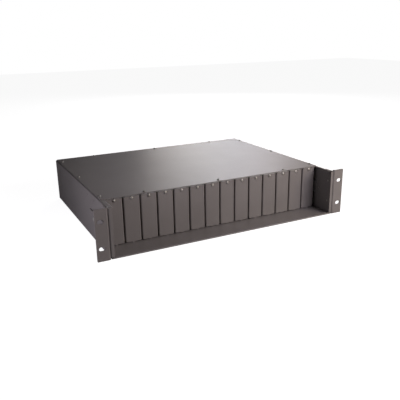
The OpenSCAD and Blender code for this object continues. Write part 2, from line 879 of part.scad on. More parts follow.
module bay_sockets() color(black) for (s = [-1, 1]) translate([s * bay_x, board_y + board_t, board_mid_z])
    difference() {
        box([-socket_w / 2, 0, -socket_h / 2], [socket_w / 2, socket_d, socket_h / 2]);
        box([-socket_w / 2 + socket_wall, socket_d - socket_bore_d, -socket_h / 2 + socket_wall],
            [socket_w / 2 - socket_wall, socket_d + over, socket_h / 2 - socket_wall]);
    }

module board_spacers() color(nickel) for (p = spacer_places) difference() {
    rod_y(board_y + board_t, bulkhead_y, p.x, p.y, spacer_r);
    rod_y(board_y + board_t - over, bulkhead_y + over, p.x, p.y, small_r + fit);
}

module board_screws() color(nickel) for (p = spacer_places)
    translate([p.x, board_y, p.y]) head_front()
        small_screw(board_t + spacer_l + bulkhead_t + board_screw_spare);

// Air slots of the bulkhead, left out where a socket or a spacer stands
function near(x, places, reach) = len([for (p = places) if (abs(x - p) < reach) p]) > 0;
spacer_xs = [for (p = spacer_places) p.x];
vent_xs = [for (k = [-2 * vent_columns:2 * vent_columns])
    let (x = (k + 1 / 2) * vent_pitch)
    if (abs(x) < inner_x - vent_pitch
        && !near(x, [-bay_x, bay_x], socket_w / 2 + vent_w)
        && !near(x, spacer_xs, spacer_r + vent_w)) x];

// Outline of a sheet that fills the tray's inside, with corners clear of its bends
module inner_outline() translate([0, (tray_t + inner_top) / 2])
    round_rect(2 * inner_x, inner_top - tray_t, tray_bend_out);

module bulkhead() color(bare_steel) difference() {
    union() {
        run_y(bulkhead_y, bulkhead_back_y) inner_outline();
        box([-flat_x, bulkhead_y, tray_t],
            [flat_x, bulkhead_back_y + bulkhead_flange, tray_t + bulkhead_t]);
        sides() box([inner_x - bulkhead_t, bulkhead_y, flat_z0],
            [inner_x, bulkhead_back_y + bulkhead_flange, flat_z1]);
    }
    run_y(bulkhead_y - over, bulkhead_back_y + over) {
        for (x = vent_xs) translate([x, vent_z]) rotate(90) obround(vent_h, vent_w);
        for (s = [-1, 1]) translate([s * bay_x, board_mid_z])
            square([socket_w + 2 * socket_window_gap, socket_h + 2 * socket_window_gap],
                center = true);
        for (s = [-1, 1]) translate([s * lead_x, header_z]) circle(header_h / 2);
    }
    for (p = spacer_places)
        rod_y(bulkhead_y - over, bulkhead_back_y + over, p.x, p.y, small_r + fit);
}

// Rear panel with the fans' holes and the two power bays

module rear_panel() color(paint) difference() {
    union() {
        run_y(panel_y, back_y) inner_outline();
        box([-lip_x + lip_gap, panel_y, wall_h / 2], [lip_x - lip_gap, back_y, wall_h]);
        box([-lip_x + lip_gap, back_y - panel_flange, wall_h - panel_t],
            [lip_x - lip_gap, back_y, wall_h]);
        box([-flat_x, back_y - panel_flange, tray_t], [flat_x, back_y, tray_t + panel_t]);
        sides() box([inner_x - panel_t, back_y - panel_flange, flat_z0],
            [inner_x, back_y, flat_z1]);
    }
    run_y(panel_y - over, back_y + over) {
        for (s = [-1, 1]) {
            translate([s * bay_x, bay_mid_z]) round_rect(bay_w, bay_h, bay_corner_r);
            translate([s * fan_x, fan_z]) circle(duct_r);
        }
    }
    for (s = [-1, 1], t = [-1, 1]) {
        rod_y(panel_y - over, back_y + over, s * bay_x + t * bay_screw_dx, bay_mid_z, small_r + fit);
        for (v = [-1, 1])
            rod_y(panel_y - over, back_y + over, s * fan_x + t * fan_hole_span / 2,
                fan_z + v * fan_hole_span / 2, big_r + fit);
    }
    rod_y(panel_y - over, back_y + over, ground_x, ground_z, big_r + fit);
    for (p = back_places)
        rod_z(wall_h - panel_t - over, wall_h + over, p.x, p.y, small_r + fit);
}

module bay_runners() color(bare_steel) for (s = [-1, 1]) translate([s * bay_x, 0, 0]) sides()
    run_y(module_y0 + runner_end_gap, back_y - panel_flange - runner_end_gap) {
        translate([module_w / 2 + side_gap, tray_t]) square([runner_t, runner_h]);
        translate([module_w / 2 + side_gap, tray_t]) square([runner_foot_w, runner_t]);
        translate([module_w / 2 + side_gap + runner_t - runner_shelf_w,
            module_z0 - slide_gap - runner_t]) square([runner_shelf_w, runner_t]);
    }

module bay_cover() color(paint) difference() {
    run_y(back_y, face_y) translate([-bay_x, bay_mid_z])
        round_rect(bay_w + 2 * face_side_lap, bay_h + 2 * face_lap, face_corner_r);
    for (t = [-1, 1])
        rod_y(back_y - over, face_y + over, -bay_x + t * bay_screw_dx, bay_mid_z, small_r + fit);
}

module ground_screw() color(nickel) translate([ground_x, back_y, ground_z]) head_back() {
    difference() {
        cylinder(h = washer_t, r = washer_r);
        translate([0, 0, -over]) cylinder(h = washer_t + 2 * over, r = big_r + fit);
    }
    translate([0, 0, washer_t]) big_screw(ground_screw_l);
}

// Fans

module at_fan(s) translate([s * fan_x, fan_y, fan_z]) rotate([-90, 0, 0]) children();

module fan_flange_section() difference() {
    round_rect(fan_w, fan_w, fan_corner_r);
    circle(duct_r);
    for (x = [-1, 1], y = [-1, 1])
        translate([x * fan_hole_span / 2, y * fan_hole_span / 2]) circle(big_r + fit);
}

module fan_waist_section() intersection() {
    difference() {
        circle(fan_waist_r);
        circle(duct_r);
    }
    square([fan_w, fan_w], center = true);
}

module fan_body() {
    for (z = [0, fan_d - fan_flange_t])
        translate([0, 0, z]) linear_extrude(fan_flange_t) fan_flange_section();
    translate([0, 0, fan_flange_t])
        linear_extrude(fan_d - 2 * fan_flange_t) fan_waist_section();
}

module fan_motor() difference() {
    union() {
        translate([0, 0, fan_d - motor_t]) cylinder(h = motor_t, r = motor_r);
        translate([0, 0, cup_front + cup_wall + coil_gap])
            cylinder(h = fan_d - motor_t - cup_front - cup_wall - coil_gap / 2, r = coil_r);
        for (k = [0:strut_count - 1]) rotate(strut_turn + k * 360 / strut_count)
            box([(coil_r + motor_r) / 2, -strut_w / 2, fan_d - motor_t + strut_inset],
                [(duct_r + fan_waist_r) / 2, strut_w / 2, fan_d - strut_inset]);
    }
    translate([0, 0, -over])
        cylinder(h = fan_d - shaft_end + over, r = shaft_r + shaft_fit);
}

module fan_frame(s) color(black) at_fan(s) {
    fan_body();
    fan_motor();
}

module fan_blade() intersection() {
    difference() {
        cylinder(h = fan_d, r = duct_r - blade_gap);
        translate([0, 0, -over]) cylinder(h = fan_d + 2 * over, r = hub_r - blade_root);
    }
    translate([0, 0, (blade_front + blade_back) / 2])
        rotate([blade_pitch, 0, 0]) translate([0, 0, -blade_curve_r]) rotate([0, 90, 0])
            difference() {
                cylinder(h = duct_r, r = blade_curve_r + blade_t / 2);
                translate([0, 0, -over])
                    cylinder(h = duct_r + 2 * over, r = blade_curve_r - blade_t / 2);
            }
    box([0, -hub_r, blade_front], [duct_r, hub_r, blade_back]);
}

module fan_rotor(s) color(rotor_black) at_fan(s) {
    difference() {
        translate([0, 0, cup_front])
            cylinder(h = fan_d - motor_t - cup_gap - cup_front, r = hub_r);
        translate([0, 0, cup_front + cup_wall]) cylinder(h = fan_d, r = hub_r - cup_wall);
    }
    translate([0, 0, cup_front])
        cylinder(h = fan_d - shaft_end - slide_gap - cup_front, r = shaft_r);
    for (k = [0:blade_count - 1]) rotate(k * 360 / blade_count) fan_blade();
}

module wire_ring(r) rotate_extrude() translate([r, 0]) circle(wire_r);

module fan_guard(s) translate([s * fan_x, back_y + wire_r, fan_z]) rotate([-90, 0, 0]) {
    for (k = [0:guard_rings - 1]) wire_ring(guard_first_r + k * guard_ring_pitch);
    reach = fan_hole_span / sqrt(2) - guard_eye_r;
    for (k = [0:guard_spokes - 1]) rotate(45 + k * 360 / guard_spokes) {
        translate([guard_first_r, 0, 0]) rotate([0, 90, 0])
            cylinder(h = reach - guard_first_r, r = wire_r);
        translate([reach + guard_eye_r, 0, 0]) wire_ring(guard_eye_r);
    }
}

module fan_guards() color(nickel) for (s = [-1, 1]) fan_guard(s);

module fan_screws() color(nickel) for (s = [-1, 1], x = [-1, 1], z = [-1, 1])
    translate([s * fan_x + x * fan_hole_span / 2, back_y + 2 * wire_r,
        fan_z + z * fan_hole_span / 2]) head_back() big_screw(fan_screw_l);

// A lead through corners given as [y, z], straight along Y or Z between round bends
module lead_straight(p, q) {
    d = (q - p) / norm(q - p);
    translate([0, p.x, p.y]) rotate([atan2(-d.x, d.y), 0, 0]) cylinder(h = norm(q - p), r = lead_r);
}

module lead_corner(p, c, q) {
    a = (p - c) / norm(p - c);
    b = (q - c) / norm(q - c);
    mid = c + (a + b) * lead_bend;
    far = mid - (a + b) * (lead_bend + 2 * lead_r);
    intersection() {
        translate([0, mid.x, mid.y]) rotate([0, 90, 0])
            rotate_extrude() translate([lead_bend, 0]) circle(lead_r);
        box([-2 * lead_r, min(mid.x, far.x), min(mid.y, far.y)],
            [2 * lead_r, max(mid.x, far.x), max(mid.y, far.y)]);
    }
}

lead_floor_z = tray_t + lead_r + slide_gap;
lead_climb_y = bulkhead_back_y + bulkhead_flange + lead_climb_gap;
lead_path = [
    [fan_y, fan_z - lead_from_mid], [fan_y - lead_drop_y, fan_z - lead_from_mid],
    [fan_y - lead_drop_y, lead_floor_z], [lead_climb_y, lead_floor_z],
    [lead_climb_y, header_z], [board_y + board_t + header_d, header_z]
];

module fan_lead() {
    last = len(lead_path) - 1;
    for (i = [1:last]) {
        p = lead_path[i - 1];
        q = lead_path[i];
        d = (q - p) / norm(q - p);
        lead_straight(p + (i == 1 ? 0 : 1) * d * lead_bend, q - (i == last ? 0 : 1) * d * lead_bend);
    }
    for (i = [1:last - 1]) lead_corner(lead_path[i - 1], lead_path[i], lead_path[i + 1]);
}

module fan_leads() color(black) for (s = [-1, 1]) translate([s * lead_x, 0, 0]) fan_lead();

// Power module in the right bay: case, lid and face

module at_module() translate([bay_x, 0, 0]) children();

module module_case() color(bare_steel) at_module() difference() {
    union() {
        difference() {
            box([-module_w / 2, module_y0, module_z0], [module_w / 2, back_y, module_z1 - case_t]);
            box([-module_w / 2 + case_t, module_y0 + case_t, module_z0 + case_t],
                [module_w / 2 - case_t, back_y + over, module_z1]);
        }
        for (x = [-1, 1], y = [module_board_y0 + post_inset, module_board_y1 - post_inset])
            rod_z(module_z0 + case_t / 2, module_board_z,
                x * (module_w / 2 - module_board_side - post_inset), y, post_r);
    }
    translate([0, module_y0, board_mid_z])
        cube([module_plug_w + 2 * module_plug_gap, 2 * case_t + over,
            module_plug_h + 2 * module_plug_gap], center = true);
}

module module_lid() color(bare_steel) at_module() difference() {
    union() {
        box([-module_w / 2, module_y0, module_z1 - case_t], [module_w / 2, back_y, module_z1]);
        sides() box([module_w / 2 - 2 * case_t, module_y0 + case_t, module_z1 - lid_skirt_h],
            [module_w / 2 - case_t, back_y, module_z1]);
    }
    run_z(module_z1 - case_t - over, module_z1 + over)
        for (i = [0:lid_vent_columns - 1], j = [0:lid_vent_rows - 1])
            translate([(i - (lid_vent_columns - 1) / 2) * lid_vent_pitch,
                (module_y0 + back_y) / 2 + (j - (lid_vent_rows - 1) / 2) * lid_vent_row_pitch])
                rotate(90) obround(lid_vent_l, lid_vent_w);
}

module module_face() color(paint) at_module() difference() {
    run_y(back_y, face_y) translate([0, bay_mid_z])
        round_rect(bay_w + 2 * face_side_lap, bay_h + 2 * face_lap, face_corner_r);
    run_y(back_y - over, face_y + over) {
        translate([inlet_dx, inlet_z])
            square([inlet_body_w + 2 * fit, inlet_body_h + 2 * fit], center = true);
        translate([switch_dx, switch_z])
            square([switch_body_w + 2 * fit, switch_body_h + 2 * fit], center = true);
        translate([lamp_dx, lamp_z]) circle(lamp_r + fit);
        for (i = [0:face_vents - 1]) translate([face_vent_dx + i * face_vent_pitch, inlet_z])
            rotate(90) obround(face_vent_h, face_vent_w);
    }
    for (t = [-1, 1])
        rod_y(back_y - over, face_y + over, t * bay_screw_dx, bay_mid_z, small_r + pin_fit);
}

module handle_corner() intersection() {
    rotate_extrude() translate([handle_bend, 0]) circle(handle_r);
    box([0, 0, -2 * handle_r], [handle_bend + 2 * handle_r, handle_bend + 2 * handle_r, 2 * handle_r]);
}

module module_handle() color(bare_steel) at_module() {
    bar_y = face_y + handle_out - handle_r;
    rod_x(-handle_w / 2 + handle_bend, handle_w / 2 - handle_bend, bar_y, handle_z, handle_r);
    sides() {
        rod_y(face_y, bar_y - handle_bend, handle_w / 2, handle_z, handle_r);
        rod_y(face_y, face_y + handle_foot_h, handle_w / 2, handle_z, handle_foot_r);
        translate([handle_w / 2 - handle_bend, bar_y - handle_bend, handle_z]) handle_corner();
    }
}

// The inlet's shape, with its two upper corners cut off
module inlet_bore(w, h) difference() {
    square([w, h], center = true);
    for (s = [-1, 1]) translate([s * w / 2, h / 2]) rotate(45)
        square(inlet_chamfer, center = true);
}

module at_inlet() translate([bay_x + inlet_dx, face_y, inlet_z]) children();

module module_inlet() color(black) at_inlet() difference() {
    union() {
        run_y(0, inlet_flange) round_rect(inlet_w, inlet_h, inlet_corner_r);
        run_y(inlet_flange - inlet_body_d, inlet_flange / 2)
            square([inlet_body_w, inlet_body_h], center = true);
    }
    run_y(inlet_flange - inlet_bore_d, inlet_flange + over) inlet_bore(inlet_bore_w, inlet_bore_h);
}

module inlet_pin(x, z) translate([x, inlet_flange - inlet_bore_d, z])
    box([-pin_w / 2, 0, -pin_h / 2], [pin_w / 2, pin_l, pin_h / 2]);

module module_pins() color(nickel) at_inlet() {
    inlet_pin(-pin_dx, -pin_drop);
    inlet_pin(pin_dx, -pin_drop);
    inlet_pin(0, pin_rise);
}

module at_switch() translate([bay_x + switch_dx, face_y, switch_z]) children();

module module_switch() color(black) at_switch() {
    pivot_y = switch_rim - rocker_sink;
    bore_h = 2 * (rocker_r + rocker_gap);
    difference() {
        union() {
            run_y(0, switch_rim) round_rect(switch_w, switch_h, switch_corner_r);
            run_y(switch_rim - switch_body_d, switch_rim / 2)
                square([switch_body_w, switch_body_h], center = true);
        }
        run_y(pivot_y - rocker_r - rocker_gap, switch_rim + over)
            square([rocker_w + 2 * rocker_gap, bore_h], center = true);
        rod_x(-rocker_w / 2 - rocker_gap - rocker_pin_l, rocker_w / 2 + rocker_gap + rocker_pin_l,
            pivot_y, 0, rocker_pin_r + pin_fit);
    }
    for (s = [-1, 1])
        box([-tab_w / 2, switch_rim - switch_body_d - tab_l, s * tab_dz - tab_t / 2],
            [tab_w / 2, switch_rim - switch_body_d + tab_t, s * tab_dz + tab_t / 2]);
}

// The rocker, pressed in at its top, turns on two pins
module rocker_section() intersection() {
    circle(rocker_r);
    for (s = [-1, 1]) intersection_for (t = [-1, 1]) rotate(t * rocker_tilt)
        translate([-2 * rocker_r, -2 * rocker_r]) square([2 * rocker_r + rocker_flat, 4 * rocker_r]);
}

module module_rocker() color(rocker_red) at_switch()
    translate([0, switch_rim - rocker_sink, 0]) rotate([rocker_tilt, 0, 0]) {
        run_x(-rocker_w / 2, rocker_w / 2) rocker_section();
        rod_x(-rocker_w / 2 - rocker_gap - rocker_pin_l + fit,
            rocker_w / 2 + rocker_gap + rocker_pin_l - fit, 0, 0, rocker_pin_r);
    }

module module_lamp() color(lamp_green) at_module() translate([lamp_dx, 0, lamp_z]) {
    rod_y(face_y - lamp_l, face_y + lamp_flange_h, 0, 0, lamp_r);
    rod_y(face_y, face_y + lamp_flange_h, 0, 0, lamp_flange_r);
    translate([0, face_y + lamp_flange_h, 0]) sphere(lamp_r);
}

// Parts on the power module's board

module module_board() color(board_green) at_module()
    box([-module_w / 2 + module_board_side, module_board_y0, module_board_z],
        [module_w / 2 - module_board_side, module_board_y1, module_board_top]);

module module_plug() color(black) at_module() {
    box([-module_plug_w / 2, module_board_y0 + module_plug_margin, module_board_top],
        [module_plug_w / 2, module_board_y0 + module_plug_margin + module_plug_base_d,
            board_mid_z + module_plug_h / 2]);
    box([-module_plug_w / 2, board_y + board_t + socket_d - module_plug_reach,
        board_mid_z - module_plug_h / 2],
        [module_plug_w / 2, module_board_y0 + module_plug_margin + module_plug_base_d,
            board_mid_z + module_plug_h / 2]);
}

module module_transformer() color(core_yellow) at_module() translate(
    [-module_w / 2 + core_from_side, module_board_y1 - core_from_back, module_board_top]) {
    box([-core_w / 2, -core_d / 4, 0], [core_w / 2, core_d / 4, core_h]);
    translate([0, 0, (core_h - winding_h) / 2]) cylinder(h = winding_h, r = winding_r);
    box([-core_w / 4, -core_d / 2, 0], [core_w / 4, core_d / 2, (core_h - winding_h) / 2]);
}

module module_capacitors() color(capacitor_blue) at_module() for (k = [0:cap_count - 1])
    rod_z(module_board_top, module_board_top + cap_h, module_w / 2 - cap_from_side,
        module_board_y0 + cap_from_front + k * cap_pitch, cap_r);

module heatsink() {
    box([-sink_web / 2, 0, 0], [sink_web / 2, sink_l, sink_h]);
    for (k = [0:sink_fins - 1])
        translate([0, 0, sink_h - sink_fin_t - k * sink_h / sink_fins])
            box([-sink_fin / 2, 0, 0], [sink_fin / 2, sink_l, sink_fin_t]);
}

module module_heatsinks() color(aluminium) at_module() for (s = sink_xs_share)
    translate([s * module_w, module_board_y0 + sink_from_front, module_board_top]) heatsink();

// Thumbscrews that hold the module, free to turn in its face
module thumbscrew(t) color(nickel) at_module()
    translate([t * bay_screw_dx, face_y + knob_gap, bay_mid_z]) rotate([-90, 0, 0])
        difference() {
            union() {
                cylinder(h = knob_collar_h, r = knob_collar_r);
                translate([0, 0, knob_collar_h]) cylinder(h = knob_l, r = knob_r);
                translate([0, 0, -knob_gap - face_t - panel_t - knob_tip])
                    cylinder(h = knob_gap + face_t + panel_t + knob_tip + over, r = small_r);
            }
            for (k = [0:knob_grooves - 1]) rotate(k * 360 / knob_grooves)
                translate([knob_r, 0, knob_collar_h - over])
                    cylinder(h = knob_l + 2 * over, r = knob_groove_r);
            translate([-knob_r - over, -knob_slot_w / 2, knob_collar_h + knob_l - knob_slot_d])
                cube([2 * (knob_r + over), knob_slot_w, knob_slot_d + over]);
        }

base_tray();
top_cover();
rear_panel();
left_ear();
right_ear();
front_rail();
upper_guide();
guide_brackets();
guide_ribs();
backplane_board();
power_plugs();
bay_sockets();
bulkhead();
board_spacers();
nut_plates();
fan_frame(-1);  // left_fan_frame
fan_frame(1);  // right_fan_frame
fan_rotor(-1);  // left_fan_rotor
fan_rotor(1);  // right_fan_rotor
fan_guards();
fan_leads();
bay_runners();
bay_cover();
module_case();
module_lid();
module_face();
module_handle();
module_inlet();
module_pins();
module_switch();
module_rocker();
module_board();
module_transformer();
module_capacitors();
module_heatsinks();
module_plug();
module_lamp();
thumbscrew(-1);  // left_thumbscrew
thumbscrew(1);  // right_thumbscrew
cover_screws();
ear_screws();
guide_screws();
board_screws();
fan_screws();
ground_screw();
blank_screws();
blanking_plate(1);  // blank_01
blanking_plate(2);  // blank_02
blanking_plate(3);  // blank_03
blanking_plate(4);  // blank_04
blanking_plate(5);  // blank_05
blanking_plate(6);  // blank_06
blanking_plate(7);  // blank_07
blanking_plate(8);  // blank_08
blanking_plate(9);  // blank_09
blanking_plate(10);  // blank_10
blanking_plate(11);  // blank_11
blanking_plate(12);  // blank_12
blanking_plate(13);  // blank_13
blanking_plate(14);  // blank_14
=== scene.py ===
import math

import bpy
from mathutils import Matrix, Vector

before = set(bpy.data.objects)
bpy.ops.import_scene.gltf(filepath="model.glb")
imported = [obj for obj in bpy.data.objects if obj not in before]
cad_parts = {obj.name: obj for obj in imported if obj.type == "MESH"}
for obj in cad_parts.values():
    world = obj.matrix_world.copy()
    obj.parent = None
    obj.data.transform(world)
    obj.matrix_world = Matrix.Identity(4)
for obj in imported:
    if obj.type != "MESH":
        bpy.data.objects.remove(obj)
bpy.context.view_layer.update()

# Photograph and camera: pixels, millimetres for the sensor, metres and radians
IMAGE_SIZE = 400
FOCAL_PIXELS = 521.521
SENSOR_WIDTH = 36.0
CLIP_START = 0.01
CAMERA_PLACE = Vector((-0.429406, -0.912165, 0.339782))
CAMERA_AZIMUTH = 0.465
CAMERA_ELEVATION = 0.315
CAMERA_ROLL = -0.017

# Linear colours; a pair holds the dark and the light shade of one finish
WHITE = (1.0, 1.0, 1.0)
PAINT = (0.150, 0.137, 0.130), (0.172, 0.158, 0.151)
PAINT_SPECK = (0.10, 0.09, 0.085), (0.24, 0.225, 0.215)
ZINC = (0.36, 0.36, 0.36), (0.50, 0.50, 0.49)
NICKEL = (0.36, 0.35, 0.33), (0.50, 0.48, 0.45)
ROD_STEEL = (0.42, 0.42, 0.41), (0.52, 0.52, 0.51)
ALUMINIUM = (0.36, 0.36, 0.38), (0.48, 0.48, 0.50)
BLACK = (0.018, 0.018, 0.019)
ROTOR_BLACK = (0.026, 0.026, 0.028)
MASK_GREEN = (0.012, 0.085, 0.035)
TRACE = MASK_GREEN, (0.014, 0.10, 0.042)
TRACE_GAP = (0.03, 0.17, 0.07)
BOARD_WEAVE = MASK_GREEN, (0.02, 0.13, 0.05)
TAPE_YELLOW = (0.50, 0.34, 0.06), (0.62, 0.43, 0.09)
CORE_GREY = (0.07, 0.07, 0.075), (0.10, 0.10, 0.105)
SLEEVE_BLUE = (0.018, 0.026, 0.06), (0.03, 0.04, 0.085)
LENS_GREEN = (0.05, 0.42, 0.09), (0.09, 0.55, 0.14)

# Roughness at the smooth and at the rough spots of one finish
PAINT_ROUGH = 0.38, 0.48
ZINC_ROUGH = 0.32, 0.55
NICKEL_ROUGH = 0.34, 0.48
ROD_ROUGH = 0.24, 0.40
ALUMINIUM_ROUGH = 0.3, 0.5
HOUSING_ROUGH = 0.42, 0.55
ROTOR_ROUGH = 0.34, 0.46
ROCKER_ROUGH = 0.16, 0.26
LEAD_ROUGH = 0.45, 0.6
BOARD_ROUGH = 0.28, 0.42
TAPE_ROUGH = 0.4, 0.55
SLEEVE_ROUGH = 0.2, 0.34
LENS_ROUGH = 0.10, 0.22

# Texture scales: waves, cells or bands for each metre
PAINT_MOTTLE = 14.0
PAINT_SPECKS = 1500.0
PAINT_GRAIN = 1100.0
PAINT_PEEL = 4200.0
ZINC_SPANGLES = 260.0
ZINC_ROLLING = 420.0
NICKEL_HAZE = 900.0
NICKEL_MARKS = 3000.0
ROD_LINES = 1600.0
ALUMINIUM_LINES = 1400.0
PLASTIC_FLOW = 40.0
HOUSING_GRAIN = 1800.0
ROTOR_GRAIN = 1400.0
ROCKER_GRAIN = 2600.0
LEAD_MOTTLE = 600.0
BOARD_TRACES = 160.0
BOARD_THREADS = 700.0
TAPE_TURNS = 70.0
CORE_GRAIN = 500.0
SLEEVE_WRINKLES = 260.0
LENS_FROST = 1500.0

# Relief of the grains: height in metres and strength
PAINT_GRAIN_RELIEF = 0.00004, 0.5
PAINT_PEEL_RELIEF = 0.00001, 0.4
ZINC_RELIEF = 0.00003, 0.4
NICKEL_RELIEF = 0.00002, 0.4
ROD_RELIEF = 0.00002, 0.4
ALUMINIUM_RELIEF = 0.00003, 0.5
PLASTIC_RELIEF = 0.00003, 0.5
LEAD_RELIEF = 0.00003, 0.4
BOARD_RELIEF = 0.00004, 0.4
TAPE_RELIEF = 0.0001, 0.4
SLEEVE_RELIEF = 0.00008, 0.4

# Radius in metres of the softly worn edges, and rays spent on them
PAINT_EDGE = 0.0003
WORN_EDGE = 0.0002
EDGE_SAMPLES = 4

# Octaves of the noises, and the part of their range that they mostly keep to
PLAIN_OCTAVES = 1.0
FEW_OCTAVES = 2.0
SOME_OCTAVES = 3.0
MANY_OCTAVES = 4.0
NOISE_LOW = 0.3
NOISE_HIGH = 0.7

# How a noise is squeezed along X, Y and Z; a small share draws it out into lines
EVEN = (1.0, 1.0, 1.0)
ROLLED_ALONG_Y = (1.0, 0.06, 1.0)
DRAWN_ALONG_X = (0.05, 1.0, 1.0)
DRAWN_ALONG_Y = (1.0, 0.04, 1.0)
WRINKLED_ALONG_Z = (1.0, 1.0, 0.2)

# Other values of single finishes
COAT_IOR = 1.5
PLASTIC_IOR = 1.46
SPECK_SHARE = 0.10
SPANGLE_SHARE = 0.55
FLOW_LIGHTER = 1.5
FILM_WEIGHT = 0.4
FILM_ROUGH = 0.12
TRACE_GAP_SIZE = 0.04
WEAVE_SHARE = 0.25
TAPE_WAVINESS = 0.6
CORE_FACING = 0.5, 0.6
LENS_CLEARNESS = 0.35

# Points that the softboxes are aimed at
COVER_MIDDLE = (0.0, 0.0, 0.085)
COVER_RIGHT = (0.05, 0.0, 0.085)
PLATES_MIDDLE = (0.05, -0.15, 0.04)
PLATES_RIGHT = (0.10, -0.15, 0.04)
WALL_LEFT = (-0.219, -0.06, 0.06)

# Width and height of the softboxes
BROAD = (0.35, 0.30)
SMALL = (0.30, 0.25)
SQUARE = (0.4, 0.4)
LOW = (0.20, 0.15)

# Softboxes: name, place, point aimed at, size, power in watts, colour
SOFTBOXES = (
    ("sheen_back", (1.06, 1.46, 0.67), COVER_MIDDLE, BROAD, 3.4, (1.0, 0.96, 1.0)),
    ("sheen_left", (0.85, 1.60, 0.67), COVER_MIDDLE, BROAD, 1.5, (0.93, 0.96, 1.0)),
    ("sheen_far", (0.38, 1.77, 0.67), COVER_MIDDLE, BROAD, 0.3, (1.0, 0.94, 1.0)),
    ("sheen_low", (0.52, 1.16, 0.36), COVER_RIGHT, SMALL, 0.95, (1.0, 0.92, 0.88)),
    ("sheen_right", (0.95, 0.85, 0.36), COVER_RIGHT, SMALL, 0.57, (1.0, 0.88, 0.83)),
    ("front_key", (0.35, -0.75, 0.45), PLATES_RIGHT, BROAD, 4.5, (0.96, 0.90, 1.0)),
    ("front_right", (0.6, -0.7, 0.35), PLATES_MIDDLE, SQUARE, 2.7, (1.0, 0.87, 0.65)),
    ("left_wall", (-0.50, -0.15, 0.10), WALL_LEFT, LOW, 0.68, (0.92, 0.88, 1.0)),
)

# Brightness of the room: on matt surfaces, and in mirrors on its left and right
AMBIENT = 0.03
GLOSSY_DARK = 0.02
GLOSSY_LIGHT = 0.04
ROOM_LEFT = -0.2
ROOM_RIGHT = 0.9

# Floor, in metres, and its brightness to the camera before the lights add theirs
FLOOR_SIZE = 8.0
FLOOR_DROP = 0.0004
FLOOR_COLOR = (0.42, 0.42, 0.42)
FLOOR_GLOW = 0.93


def camera_axes():
    """Right, up and backward vectors of the camera, from its azimuth, elevation and roll."""
    sin_a, cos_a = math.sin(CAMERA_AZIMUTH), math.cos(CAMERA_AZIMUTH)
    sin_e, cos_e = math.sin(CAMERA_ELEVATION), math.cos(CAMERA_ELEVATION)
    forward = Vector((sin_a * cos_e, cos_a * cos_e, -sin_e))
    level = Vector((cos_a, -sin_a, 0.0))
    raised = level.cross(forward)
    right = level * math.cos(CAMERA_ROLL) + raised * math.sin(CAMERA_ROLL)
    up = raised * math.cos(CAMERA_ROLL) - level * math.sin(CAMERA_ROLL)
    return right, up, -forward


def make_camera():
    data = bpy.data.cameras.new("camera")
    data.sensor_width = SENSOR_WIDTH
    data.lens = FOCAL_PIXELS * SENSOR_WIDTH / IMAGE_SIZE
    data.clip_start = CLIP_START
    camera = bpy.data.objects.new("camera", data)
    bpy.context.scene.collection.objects.link(camera)
    turn = Matrix(camera_axes()).transposed().to_4x4()
    camera.matrix_world = Matrix.Translation(CAMERA_PLACE) @ turn
    bpy.context.scene.camera = camera


class Tree:
    """An empty node tree of a material or world, with short calls for the nodes used here."""

    def __init__(self, block):
        block.use_nodes = True
        self.tree = block.node_tree
        self.tree.nodes.clear()

    def add(self, kind):
        return self.tree.nodes.new(kind)

    def link(self, start, end):
        self.tree.links.new(start, end)

    def feed(self, value, target):
        """Link a socket to the target, or give the target a plain number."""
        if isinstance(value, bpy.types.NodeSocket):
            self.link(value, target)
        else:
            target.default_value = value

    def calc(self, operation, *values):
        node = self.add("ShaderNodeMath")
        node.operation = operation
        for value, target in zip(values, node.inputs):
            self.feed(value, target)
        return node.outputs["Value"]

    def span(self, source, low, high, start=NOISE_LOW, end=NOISE_HIGH):
        """A number from low to high while the source goes from start to end."""
        node = self.add("ShaderNodeMapRange")
        node.inputs["From Min"].default_value = start
        node.inputs["From Max"].default_value = end
        node.inputs["To Min"].default_value = low
        node.inputs["To Max"].default_value = high
        self.link(source, node.inputs["Value"])
        return node.outputs["Result"]

    def mix(self, share, first, second, kind="Color"):
        """A mix of two colours or, as the kind Float, of two numbers."""
        node = self.add("ShaderNodeMix")
        node.data_type = "RGBA" if kind == "Color" else "FLOAT"
        targets = {socket.identifier: socket for socket in node.inputs}
        self.feed(share, targets["Factor_Float"])
        self.feed(first, targets["A_" + kind])
        self.feed(second, targets["B_" + kind])
        return next(o for o in node.outputs if o.identifier == "Result_" + kind)


